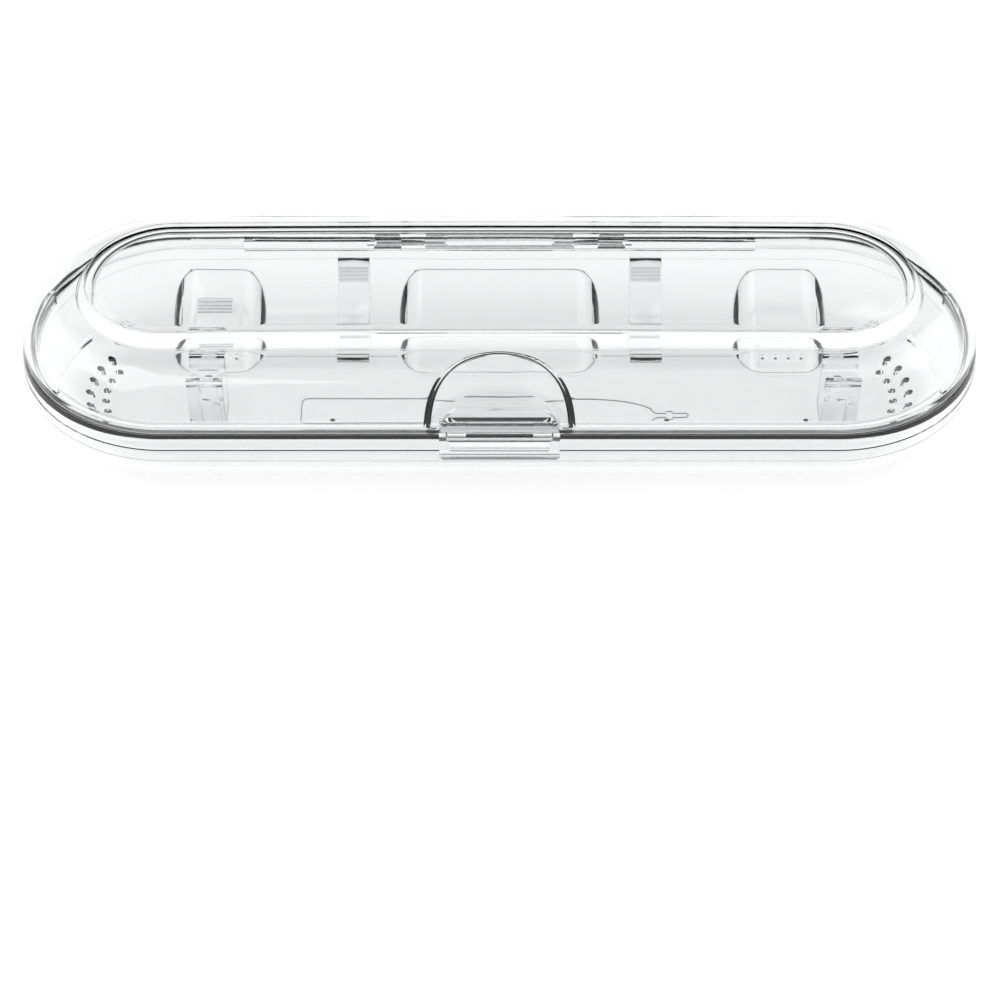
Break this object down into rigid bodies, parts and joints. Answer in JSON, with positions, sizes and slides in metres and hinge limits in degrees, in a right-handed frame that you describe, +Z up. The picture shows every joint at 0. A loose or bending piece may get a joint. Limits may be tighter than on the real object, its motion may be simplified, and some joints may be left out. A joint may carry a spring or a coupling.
{
  "type": "ventilated toothbrush sanitizer case",
  "caption": "Clear stadium-shaped toothbrush case with a hinged domed lid, front rocking clasp, end vents and brush-head clips inside.",
  "frame": {"origin": "centre of the flat underside, midway along the straight sides", "axes": "+X along the length to the right seen from the clasp, -Y towards the clasp, +Z up out of the lid"},
  "size_m": [0.22, 0.0747, 0.04],
  "materials": {
    "clear_shell": "clear polished polycarbonate",
    "clear_clasp": "clear polished polycarbonate",
    "clear_insert": "clear moulded inserts with a slightly softer gloss",
    "pin_steel": "drawn stainless wire"
  },
  "bodies": {
    "tray": {"base_tray": "clear_shell", "hinge_pin_left": "pin_steel", "hinge_pin_right": "pin_steel", "brush_head_clip_left": "clear_insert", "brush_head_clip_right": "clear_insert", "handle_rest_left": "clear_insert", "handle_rest_right": "clear_insert"},
    "lid": {"lid_shell": "clear_shell", "clasp_pin": "pin_steel"},
    "clasp": {"front_clasp": "clear_clasp"}
  },
  "joints": [
    {"name": "lid_hinge", "type": "hinge", "parent": "tray", "child": "lid", "pos_m": [0, 0.0349, 0.0209], "axis": [-1, 0, 0], "range_deg": [0, 120]},
    {"name": "clasp_pivot", "type": "hinge", "parent": "lid", "child": "clasp", "pos_m": [0, -0.036, 0.0265], "axis": [-1, 0, 0], "range_deg": [0, 20]}
  ]
}
